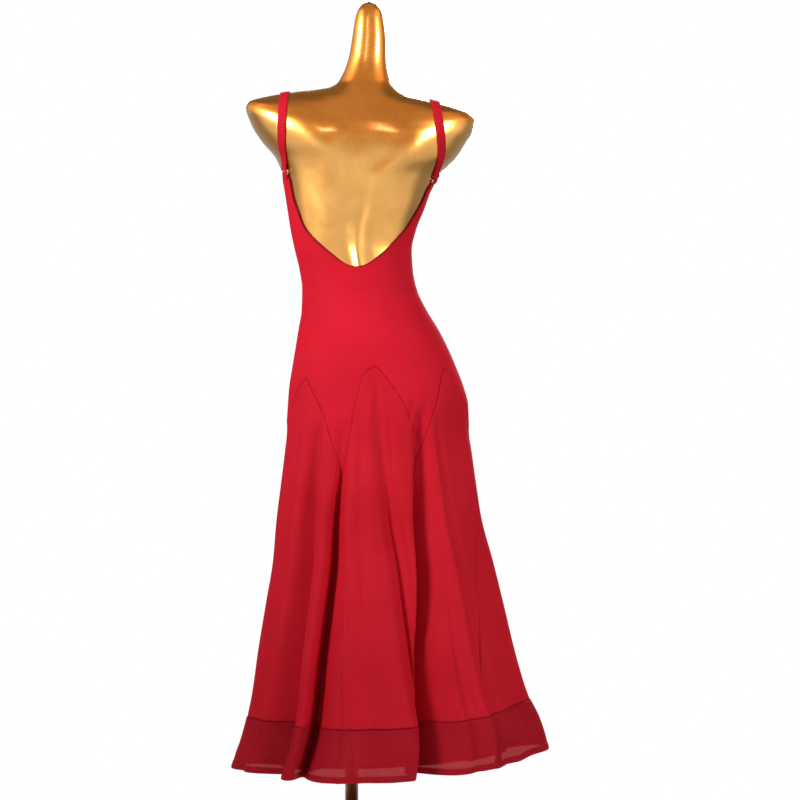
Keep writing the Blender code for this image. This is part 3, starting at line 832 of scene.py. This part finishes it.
# Gold lacquer over a moulded shell: metallic, with a clear coat, a faint orange peel and smudges
def gildedShell():
    made, tree, place = newMaterial("Gold lacquer")
    smudges = noiseOf(tree, place, 14.0, 4.0, 0.6, 0.6)
    peel = bumpOf(tree, noiseOf(tree, place, 210.0, 1.0), 0.12, 0.0002)
    lacquer = {
        "Base Color": colourRamp(tree, smudges, [(0.3, hexColour("#E09E44")), (0.7, hexColour("#EDB057"))]),
        "Metallic": 0.92,
        "Roughness": mapped(tree, smudges, (0.3, 0.7), (0.2, 0.29)),
        "Coat Weight": 1.0,
        "Coat Roughness": 0.09,
        "Normal": bumpOf(tree, noiseOf(tree, place, 11.0, 1.0), 0.1, 0.002, Normal=peel),
    }
    finishWith(tree, surfaceOf(tree, lacquer))
    return made


# Metal with a fine grain that runs along the object's Z axis, and scattered darker spots
def brushedMetal(name, light, dark, rough, grainScale):
    made, tree, place = newMaterial(name)
    stretch = {"Vector": place, "Scale": (1.0, 1.0, 0.04)}
    stretched = addNode(tree, "ShaderNodeMapping", inputs=stretch).outputs[0]
    grains = noiseOf(tree, stretched, grainScale, 4.0, 0.7)
    patches = noiseOf(tree, place, 22.0, 4.0)
    metal = {
        "Base Color": colourRamp(tree, patches, [(0.35, hexColour(dark)), (0.62, hexColour(light))]),
        "Metallic": 1.0,
        "Roughness": mapped(tree, grains, (0.0, 1.0), (rough - 0.07, rough + 0.1)),
        "Normal": bumpOf(tree, grains, 0.15, 0.0002),
    }
    finishWith(tree, surfaceOf(tree, metal))
    return made


# Spun thread: slanted bands of two reds, as plies, with a soft shine
def threadMaterial():
    made, tree, place = newMaterial("Polyester thread")
    ply = {"Vector": place, "Scale": 1500.0, "Distortion": 2.0}
    plies = addNode(tree, "ShaderNodeTexWave", {"bands_direction": "DIAGONAL"}, ply).outputs["Fac"]
    tone = colourRamp(tree, plies, [(0.2, hexColour("#8E0F20")), (0.8, hexColour("#C4182F"))])
    finishWith(tree, surfaceOf(tree, {"Base Color": tone, "Roughness": 0.5}))
    return made


# What each gives the eye. Crepe is matt and the densest red. Georgette is grainy and a little
# see-through; doubled it is darker, with paler windows. The rolled hem and the turned edge are the
# darkest lines; the turned edge's darker red is painted shade of the thin shadow line along the
# bodice's top edge. The form is a warm mirror, the rings are bright wire, the stand is a worn brown.
finishes = {
    "crepe": clothMaterial("Stretch crepe", "#E01A31", "#D6162C", 0.32, 0.3, 0.78, 0.04),
    "strapCrepe": clothMaterial("Stretch crepe, bias cut", "#D81A30", "#CC162B", 0.32, 0.3, 0.74, 0.04),
    "georgette": clothMaterial("Sheer georgette", "#E91F34", "#DC182B", 0.45, 0.55, 0.7, 0.08, sheer=0.12),
    "doubled": clothMaterial(
        "Doubled georgette", "#D01C31", "#C2162A", 0.45, 0.55, 0.7, 0.06, sheer=0.26, tint="#FFD4D0"
    ),
    "rolled": clothMaterial("Rolled georgette hem", "#BC1429", "#AE1124", 0.4, 0.5, 0.7, 0.05),
    # The turned edge is darker red than the crepe, as painted shade of the thin shadow line along the
    # bodice's top edge
    "edge": clothMaterial("Turned crepe edge", "#B41228", "#A61024", 0.32, 0.3, 0.75, 0.04),
    "gold": gildedShell(),
    "nickel": brushedMetal("Nickel wire", "#E6E2DA", "#C9C4BA", 0.2, 900.0),
    "bronzed": brushedMetal("Bronzed steel", "#A5806A", "#7C5C4A", 0.3, 260.0),
    "thread": threadMaterial(),
}


# Gives a piece its finish and its place in the model
def dress(piece, finish, slot, *nodes):
    piece.data.materials.append(finishes[finish])
    if nodes:
        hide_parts(*nodes)
    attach(piece, "root")
    return piece


# The cut of a sheet, measured on its grid: its widest row as it runs round, its longest column,
# and its area
def declareSheet(grid, withPieces=()):
    rows = np.linalg.norm(np.diff(grid[..., :2], axis=1), axis=2).sum(axis=1)
    columns = np.linalg.norm(np.diff(grid, axis=0), axis=2).sum(axis=0)
    quads = np.cross(np.diff(grid[:-1], axis=1), np.diff(grid[:, :-1], axis=0))
    area = np.linalg.norm(quads, axis=2).sum()
    width, length = float(rows.max() * mm), float(columns.max() * mm)
    area = min(max(float(area * mm * mm), 0.31 * width * length), width * length)


# The torso form: its sections as closed rings, flat below and closed by a fan at the neck's tip
def makeForm():
    knots = np.linspace(0, len(formSections) - 1, form["rings"])
    heights = smoothCurve(knots, np.arange(len(formSections)), column(formSections, "height"))[:, None]
    degrees = np.linspace(0, 360, form["facets"], endpoint=False)[None, :]
    grid = formPoint(degrees, heights)
    facets = form["facets"]
    last = (form["rings"] - 1) * facets
    here = np.arange(facets)
    fan = np.stack([last + here, np.full(facets, last + facets), last + (here + 1) % facets], axis=-1)
    points = np.concatenate([grid.reshape(-1, 3), [formTip]])
    quads = gridQuads(form["rings"], facets, closedAcross=True)
    piece = addMesh("displayForm", points, [quads, fan, here[None, :]])
    dress(piece, "gold", "form_shell", "display_form")
    triangles = np.concatenate([quads[:, [0, 1, 2]], quads[:, [0, 2, 3]], fan])
    return BVHTree.FromPolygons(points.tolist(), triangles.tolist())


# How deep the cloth dips beside a seam: a rounded edge, and small uneven puckers along it
def seamShape(away, along, values):
    uneven = 0.6 + 0.4 * np.sin(along / 53.0)
    pucker = values["puckerDeep"] * uneven * np.sin(along * 2 * math.pi / values["puckerLong"])
    edge = cloth["seamDip"] * np.exp(-((away / cloth["seamRoll"]) ** 2))
    return edge + pucker * np.exp(-((away / cloth["puckerReach"]) ** 2))


# The same along both sides of a panel, which is wider than a gore's top by the share
def sideShape(places, first, last, heights, values, share=1.0):
    away = np.minimum(places - first, last - places) * gore["wide"] * share
    return seamShape(away, heights, values)


# How far along the arch seams a place is, as knots and their runs
def archRun():
    places = np.linspace(-1, 6, 2801)
    steps = np.hypot(np.diff(places) * gore["wide"], np.diff(archHeight(places - 1e-9)))
    return places, np.concatenate([[0], np.cumsum(steps)])


# Half the bodice: rows rise from the arched seam to the top edge, and its columns close up where
# the top edge is steep
def makeBodice(name, first, node):
    last = first + 3
    fine = np.linspace(first, last, 3000)
    weight = np.hypot(np.gradient(fine) * 2.2 * gore["wide"], np.gradient(topEdgeHeight(fine)) * 0.5)
    run = np.concatenate([[0], np.cumsum(weight[1:])])
    places = np.interp(np.linspace(0, run[-1], bodice["columns"] + 1), run, fine)
    places = trimmed(np.union1d(places, np.arange(first + 1, last)), first, last)
    low, high = archHeight(places), topEdgeHeight(places)
    heights = low + endShares(bodice["rows"])[:, None] * (high - low)
    awayArch = (heights - low) / np.sqrt(1 + archSlope(places) ** 2)
    dip = seamShape(awayArch, np.interp(places, *archRun()), bodice)
    dip = dip + sideShape(places, first, last, heights, bodice)
    grid = clothPoint(places, heights, -dip)
    return dress(addShell(name, grid, cloth["wall"]), "crepe", "bodice_crepe", node), grid


# A gore, from its arched top to the hem band
def makeGore(index):
    places = goreColumns(index)
    low = bandTop(places) + cloth["seamGap"]
    length = np.sqrt(1 + archSlope(places) ** 2)
    high = archHeight(places) - cloth["seamGap"] * length
    heights = low + endShares(gore["rows"])[:, None] * (high - low)
    dip = seamShape((high - heights) / length, np.interp(places, *archRun()), gore)
    dip = dip + sideShape(places, index, index + 1, heights, gore, 1.4)
    dip = dip + seamShape(heights - low, places * gore["wideAtHem"], gore)
    grid = clothPoint(places, heights, -dip)
    name = crowns[index].name
    piece = addShell("gore_cloth_" + name, grid, cloth["wall"])
    return dress(piece, "georgette", "skirt_georgette", "gore_" + name), grid


# The seam allowances behind a gore's arch, its last side and its band: narrow strips inside
def makeAllowances(index):
    wide = allowance["wide"]
    inside = -cloth["seamDip"] - cloth["wall"] - allowance["under"]
    places = goreColumns(index)
    rows = np.linspace(-1, 1, 7)[:, None]
    lowest = float(hemHeight(index + 1.0)) + allowance["aboveHem"]
    highest = seams[(index + 1) % len(seams)].tip + allowance["aboveTip"]
    heights = np.linspace(lowest, highest, 130)[:, None]
    sides = index + 1 + np.linspace(-1, 1, 13)[None, :] * wide / goreWide(heights)
    strips = {
        "arch": (places, archHeight(places) + rows * wide * np.sqrt(1 + archSlope(places) ** 2)),
        "side": (sides, heights),
        "band": (places, bandTop(places) + rows * wide),
    }
    made = []
    for name, strip in strips.items():
        grid = clothPoint(*strip, inside)
        piece = addShell(f"allowance_{name}_{crowns[index].name}", grid, allowance["wall"])
        made.append(dress(piece, "doubled", "skirt_georgette"))
    return made


# A gore's piece of the hem band, doubled, so a little proud of the gore
def makeBand(index):
    places = goreColumns(index)
    low = hemHeight(places) + hemRoll["deep"] * hemBand["overRoll"]
    high = bandTop(places)
    heights = low + endShares(hemBand["rows"])[:, None] * (high - low)
    dip = seamShape(high - heights, places * gore["wideAtHem"], gore) * 0.5 - hemBand["stepOut"]
    dip = dip + sideShape(places, index, index + 1, heights, gore, 1.6)
    grid = clothPoint(places, heights, -dip)
    name = crowns[index].name
    piece = addShell("hem_cloth_" + name, grid, hemBand["wall"])
    return dress(piece, "doubled", "hem_georgette", "hem_band_" + name), grid


# The rolled hem: an oval roll round the lowest edge, whose points follow the cloth at their height
def makeHemRoll():
    places = np.linspace(0, len(seams), 1100, endpoint=False)[:, None]
    turn = np.linspace(0, 2 * math.pi, hemRoll["around"], endpoint=False)[None, :]
    middle = hemHeight(places) + hemRoll["deep"] / 2
    heights = middle + np.sin(turn) * hemRoll["deep"] / 2
    uneven = 1 + 0.06 * np.sin(places * 41.0) + 0.05 * np.sin(places * 97.0 + 1.0)
    out = np.cos(turn) * uneven * hemRoll["thick"] / 2 - cloth["wall"] / 2 + hemBand["stepOut"]
    piece = addTube("hemRoll", clothPoint(places, heights, out), closed=True)
    dress(piece, "rolled", "hem_binding", *("hem_binding_" + crown.name for crown in crowns))


# Points of the cloth at equal steps along a line of places and heights, with their normals
def lineOnCloth(places, heights, step, out=0.0, closed=False):
    here = clothPoint(places, heights, out)
    above = clothPoint(places, heights + 2.0, out)
    beside = clothPoint(places + 0.004, heights, out)
    return evenLine(here, unit(np.cross(above - here, beside - here)), step, closed)


# The turned edge of neck and armholes: an oval roll swept round the bodice's top edge
def makeNeckRoll():
    places = np.linspace(sideRight, sideRight + 6, 9000, endpoint=False)
    inside = -cloth["wall"] / 2
    line, normals = lineOnCloth(places, topEdgeHeight(places), neckRoll["step"], inside, closed=True)
    profile = ellipse(neckRoll["tall"], neckRoll["thick"], neckRoll["around"])
    grid = sweep(line, normals, profile, closed=True)
    return dress(addTube("neckRoll", grid[:, ::-1], closed=True), "edge", "bodice_crepe")


# Where a ray in the plane of x, straight back at 0 degrees and up at 90, leaves the form
def shoulderPoint(surface, x, degrees):
    turn = math.radians(degrees)
    way = Vector((0, math.cos(turn), math.sin(turn)))
    hit, normal, _, _ = surface.ray_cast(Vector((x, *shoulderMiddle)), way)
    return np.array(hit), np.array(normal)


# A strap's middle line over the shoulder, and its normals
def strapLine(surface, row):
    shares = np.linspace(0, 1, strap["steps"] + 1)
    turns = row.backTurn + shares * (row.frontTurn - row.backTurn)
    across = smoothCurve(shares, (0, 0.2, 0.5, 1), (row.backX, row.midX, row.topX, row.frontX))
    found = [shoulderPoint(surface, x, turn) for x, turn in zip(across, turns)]
    points, normals = (np.array(part) for part in zip(*found))
    lift = strap["lift"] * np.exp(-((shares / 0.06) ** 2))
    return points + normals * (strap["out"] - strap["thick"] / 2 + lift)[:, None], normals


# The frame of a ring: its middle, the way across, the way up and the way out
def ringFrame(line, normals):
    out = normals[0]
    across = unit(np.cross(line[8] - line[0], out))
    up = np.cross(out, across)
    middle = line[0] - up * (ring["tall"] / 2 + ring["wire"] + ring["belowStrap"]) + out * ring["out"]
    return middle, across, up, out


# Half a turn of cloth round a ring's bar, from the front past the given side to the back, and its
# normals
def barLoop(bar, out, side, radius):
    turn = np.linspace(0, math.pi, 14)[:, None]
    normals = out * np.cos(turn) + side * np.sin(turn)
    return bar + radius * normals, normals


# A strap: a flat folded band, narrower at its ring, with a loop round the ring's upper bar. Gives
# the lines of its two rows of stitches and the ring's frame.
def makeStrap(surface, row):
    line, normals = strapLine(surface, row)
    middle, across, up, out = ringFrame(line, normals)
    bar = middle + up * ring["tall"] / 2
    loop, loopOut = barLoop(bar, out, -up, ring["wire"] + 0.25 + strap["thick"] * 0.3)
    tail = loop[-1] + up * np.linspace(1.5, 9.0, 6)[:, None]
    lead = loop[0] + (line[6] - loop[0]) * np.linspace(0.2, 0.8, 4)[:, None]
    whole = np.concatenate([tail[::-1], loop[::-1], lead, line[7:]])
    tailOut, leadOut = np.tile(loopOut[-1], (6, 1)), np.tile(normals[0], (4, 1))
    wholeOut = np.concatenate([tailOut, loopOut[::-1], leadOut, normals[7:]])
    at, end = np.arange(len(whole)), len(whole)
    wide = smoothCurve(at, (0, 24, 60, end), (strap["atLoop"], strap["atRing"], strap["wide"], strap["wide"]))
    thick = smoothCurve(at, (0, 22, 40, end), (0.6, 0.8, 1.0, 1.0)) * strap["thick"]
    profile = roundedBand(1, 1, 20)[None] * np.stack([wide, thick], axis=-1)[:, None]
    piece = addTube("strap_cloth_" + row.name, sweep(whole, wholeOut, profile)[:, ::-1])
    dress(piece, "strapCrepe", "bodice_crepe", "strap_" + row.name)
    aside = unit(np.cross(tangents(line), normals)) * (strap["wide"] / 2 - stitch["fromStrapEdge"])
    top = line + normals * strap["thick"] * 0.5
    rows = [((top + aside * side)[14:], normals[14:]) for side in (-1, 1)]
    return rows, (middle, across, up, out)


# A ring: round wire bent into a rectangle with cut corners
def makeRing(row, place):
    middle, across, up, out = place
    corner, steps, points = ring["corner"], 9, []
    for signX, signY, first in ((1, 1, 0), (-1, 1, 90), (-1, -1, 180), (1, -1, 270)):
        turn = np.radians(np.linspace(first, first + 90, steps))
        x = signX * (ring["wide"] / 2 - corner) + corner * np.cos(turn)
        y = signY * (ring["tall"] / 2 - corner) + corner * np.sin(turn)
        points.append(middle + across * x[:, None] + up * y[:, None])
    bends = np.concatenate(points)
    line, normals = evenLine(bends, np.tile(out, (len(bends), 1)), 0.5, closed=True)
    grid = sweep(line, normals, ellipse(2 * ring["wire"], 2 * ring["wire"], 14), closed=True)
    piece = addTube("ring_wire_" + row.name, grid[:, ::-1], closed=True)
    dress(piece, "nickel", "ring_wire", "ring_" + row.name)


# The bodice tab's loop: a short band from the tab up and round the ring's lower bar
def makeTabLoop(row, place):
    middle, across, up, out = place
    arc, arcOut = barLoop(middle - up * ring["tall"] / 2, out, up, ring["wire"] + 0.3)
    down = np.linspace(tab["long"], 1.0, 8)[:, None]
    whole = np.concatenate([arc[0] - up * down, arc, arc[-1] - up * down[::-1] * 0.7])
    wholeOut = np.concatenate([np.tile(out, (8, 1)), arcOut, np.tile(arcOut[-1], (8, 1))])
    grid = sweep(whole, wholeOut, roundedBand(tab["wide"], tab["thick"], 16))
    return dress(addTube("tabLoop_" + row.name, grid[:, ::-1]), "crepe", "bodice_crepe")


# A solid turned round the pole's axis from (radius, height) pairs, its corners rounded
def addTurned(name, profile, facets, node):
    turn = -np.linspace(0, 2 * math.pi, facets, endpoint=False)[None, :]
    radius, height = (np.array(part, float)[:, None] for part in zip(*profile))
    grid = np.stack(np.broadcast_arrays(radius * np.cos(turn), radius * np.sin(turn), height), axis=-1)
    dress(addTube(name, grid), "bronzed", "stand_steel", node)


# A corner rounded by a short arc, between two directions of the profile
def roundCorner(radius, height, size, first, last):
    turn = np.radians(np.linspace(first, last, 7))
    return [(radius + size * math.cos(t), height + size * math.sin(t)) for t in turn]


# The stand's four turned parts: base, collar, pole and flange, a little apart from each other
def makeStand():
    thick, base, pole, gap = stand["baseThick"], stand["base"], stand["pole"], 0.4
    profile = [(1.0, 0.0)] + roundCorner(base - 2, 2.0, 2.0, -90, 0)
    profile += roundCorner(base - 3, thick - 3, 3.0, 0, 90)
    profile += [(60.0, thick), (40.0, thick), (1.0, thick)]
    addTurned("standBase", profile, 160, "stand_base")
    low = thick + gap
    inner, outer, tall = pole + gap, stand["collar"], stand["collarTall"]
    profile = [(inner, low)] + roundCorner(outer - 1, low + 1, 1.0, -90, 0)
    profile += [(outer - 3 * t**2, low + 4 + (tall - 10) * t) for t in np.linspace(0, 1, 12)]
    profile += roundCorner(inner + 3, low + tall - 3, 3.0, 20, 90) + [(inner, low + tall)]
    addTurned("standCollar", profile, 96, "stand_collar")
    high = formBottom - 0.8 - 6.0
    profile = [(0.5, low), (pole, low), (pole, high), (0.5, high)]
    addTurned("standPole", profile, 96, "stand_pole")
    edge = stand["flange"]
    profile = [(0.5, high + gap)] + roundCorner(edge - 1, high + 1.4, 1.0, -90, 0)
    profile += roundCorner(edge - 1, high + 5.4, 1.0, 0, 90) + [(0.5, high + 6.4)]
    addTurned("standFlange", profile, 96, "stand_flange")


# Rows of stitches: beside the neck's edge, along the straps, under the hem band's seam and on the
# rolled hem
def makeStitching(strapRows):
    places = np.linspace(sideRight, sideRight + 6, 6000, endpoint=False)
    line, normals = lineOnCloth(places, topEdgeHeight(places), 1.0, 0.1, closed=True)
    down = unit(np.cross(tangents(line, closed=True), normals))
    down *= np.sign(-np.median(down[:, 2]))
    rows = {"neck": (line + down * stitch["fromNeck"], normals, True)}
    around = np.linspace(0, len(seams), 6000, endpoint=False)
    out = hemBand["stepOut"]
    band = bandTop(around) - stitch["fromBand"]
    rows["band"] = (*lineOnCloth(around, band, 1.0, out + 0.1, closed=True), True)
    roll = hemHeight(around) + hemRoll["deep"] * 0.8
    rows["roll"] = (*lineOnCloth(around, roll, 1.0, out + 1.0, closed=True), True)
    for i, (line, normals) in enumerate(strapRows):
        rows[f"strap{i}"] = (line, normals, False)
    for name, (line, normals, closed) in rows.items():
        slot = "skirt_georgette" if name in ("band", "roll") else "bodice_crepe"
        dress(addStitches("stitches_" + name, line, normals, closed), "thread", slot)


# The room: a pale floor, soft lights, and the photograph's camera

# The floor is pale near the object and fades out into the white surround
def makeFloor():
    made, tree, place = newMaterial("Pale studio floor")
    tones = [(0.0, hexColour("#F1F1F0")), (1.0, hexColour("#F7F7F6"))]
    tone = colourRamp(tree, noiseOf(tree, place, 3.0), tones)
    pale = {"Base Color": tone, "Roughness": 0.9, "Emission Color": tone, "Emission Strength": 0.4}
    away = addNode(tree, "ShaderNodeVectorMath", {"operation": "LENGTH"}, {0: place}).outputs["Value"]
    faded = mapped(tree, away, (floor["fades"], floor["ends"]), eased=True)
    passed = addNode(tree, "ShaderNodeBsdfTransparent").outputs[0]
    finishWith(tree, mixShaders(tree, faded, surfaceOf(tree, pale), passed))
    corners = 96
    turn = np.linspace(0, 2 * math.pi, corners, endpoint=False)
    edge = np.stack([np.cos(turn), np.sin(turn), turn * 0], axis=-1) * floor["ends"] / mm
    disc = addMesh("studioFloor", edge, [np.arange(corners)[None, :]])
    disc.data.materials.append(made)


# A rectangular lamp at a place, turned towards a target, unseen by the camera itself
def addLight(name, place, target, size, power, warmth, spread=180.0):
    light = bpy.data.lights.new(name, "AREA")
    light.shape = "RECTANGLE"
    light.size, light.size_y = size
    light.energy = power
    light.spread = math.radians(spread)
    light.color = warmth
    lamp = bpy.data.objects.new(name, light)
    lamp.location = place
    lamp.rotation_euler = (Vector(target) - Vector(place)).to_track_quat("-Z", "Y").to_euler()
    lamp.visible_camera = False
    bpy.context.scene.collection.objects.link(lamp)


# A white surround for the picture. It lights the object dimly, and shows in polished surfaces as a
# room that is white below and warm brown above, dimmer towards the front, and brighter at its
# left and right ends.
def makeWorld():
    world = bpy.data.worlds.new("Studio")
    world.use_nodes = True
    tree = world.node_tree
    tree.nodes.clear()
    direction = addNode(tree, "ShaderNodeTexCoord").outputs["Generated"]
    parts = addNode(tree, "ShaderNodeSeparateXYZ", inputs={"Vector": direction}).outputs
    path = addNode(tree, "ShaderNodeLightPath").outputs
    upward, depth = (mapped(tree, parts[name], (-1.0, 1.0)) for name in ("Z", "Y"))
    dim = [(0.0, grey(0.06)), (0.45, grey(0.1)), (0.62, grey(0.22)), (0.85, grey(0.16))]
    room = [(0.0, grey(0.6)), (0.45, grey(1.0)), (0.5, grey(0.8))]
    room += [(0.57, hexColour("#CBA67E")), (0.86, hexColour("#C09068"))]
    far = colourRamp(tree, depth, [(0.0, grey(0.42)), (0.42, grey(0.3)), (0.62, grey(1.0))])
    mirrored = mixColours(tree, 1.0, colourRamp(tree, upward, room), far, "MULTIPLY")
    tones = mixColours(tree, path["Is Glossy Ray"], colourRamp(tree, upward, dim), mirrored)
    left = mapped(tree, parts["X"], (0.42, 0.95), (1.0, 6.0), eased=True)
    right = mapped(tree, parts["X"], (-0.75, -0.3), (2.4, 1.0), eased=True)
    glow = mathOf(tree, "MULTIPLY", left, right)
    risen = mapped(tree, parts["Z"], (-0.2, 0.35), eased=True)
    inPanels = mathOf(tree, "MULTIPLY", path["Is Glossy Ray"], risen)
    mixed = {0: inPanels, 2: 1.0, 3: glow}
    strength = addNode(tree, "ShaderNodeMix", {"data_type": "FLOAT"}, mixed).outputs[0]
    lit = addNode(tree, "ShaderNodeBackground", inputs={"Color": tones, "Strength": strength}).outputs[0]
    white = addNode(tree, "ShaderNodeBackground", inputs={"Color": grey(1.0), "Strength": 1.0}).outputs[0]
    seen = mixShaders(tree, path["Is Camera Ray"], lit, white)
    addNode(tree, "ShaderNodeOutputWorld", inputs={"Surface": seen})
    bpy.context.scene.world = world


# The room's lamps, each a broad soft panel
def makeLights():
    makeWorld()
    middle = (-0.05, 0.0, 1.15)
    addLight("key", (2.25, 1.75, 2.1), (-0.05, 0.0, 1.42), (0.9, 1.2), 12, (1.0, 0.985, 0.96), 58.0)
    addLight("fill", (-2.3, 2.2, 1.9), (-0.05, 0.0, 1.3), (0.9, 1.4), 16, (1.0, 0.99, 0.97), 90.0)
    addLight("front", (-0.8, -3.4, 2.3), middle, (2.0, 2.0), 74, (1, 1, 1))
    addLight("rosyCard", (0.35, 3.3, 2.9), (0.0, 0.1, 1.4), (0.25, 0.5), 3, (1.0, 0.72, 0.66))


# The photograph's camera, level and straight behind the dress, in line with the picture's middle
def makeCamera():
    camera = bpy.data.cameras.new("Photograph")
    camera.sensor_width = 36.0
    pictureWide = photo["pixels"] * photo["mmPerPixel"] * mm
    camera.lens = camera.sensor_width * photo["distance"] / pictureWide
    camera.clip_end = 200
    seen = bpy.data.objects.new("Photograph", camera)
    across = (photo["poleColumn"] - photo["pixels"] / 2) * photo["mmPerPixel"] * mm
    seen.location = (across, photo["distance"], photo["eyeHeight"])
    seen.rotation_euler = (math.pi / 2, 0, math.pi)
    bpy.context.scene.collection.objects.link(seen)
    bpy.context.scene.camera = seen


surface = makeForm()
print("form made")
backPiece, backGrid = makeBodice("bodiceBack", sideRight, "bodice_back")
frontPiece, frontGrid = makeBodice("bodiceFront", sideLeft, "bodice_front")
roll = makeNeckRoll()
print("bodice made")
strapRows, tabs = [], []
for row in straps:
    rows, place = makeStrap(surface, row)
    strapRows += rows
    makeRing(row, place)
    tabs.append(makeTabLoop(row, place))
print("straps made")
declareSheet(backGrid, [roll, *tabs])
declareSheet(frontGrid)
makeHemRoll()
for index in range(len(crowns)):
    piece, grid = makeGore(index)
    band, bandGrid = makeBand(index)
    declareSheet(grid, makeAllowances(index))
    declareSheet(bandGrid)
print("skirt made")
makeStitching(strapRows)
makeStand()
print("stand and stitching made")
makeFloor()
makeLights()
makeCamera()
bpy.context.scene.view_settings.view_transform = "Standard"
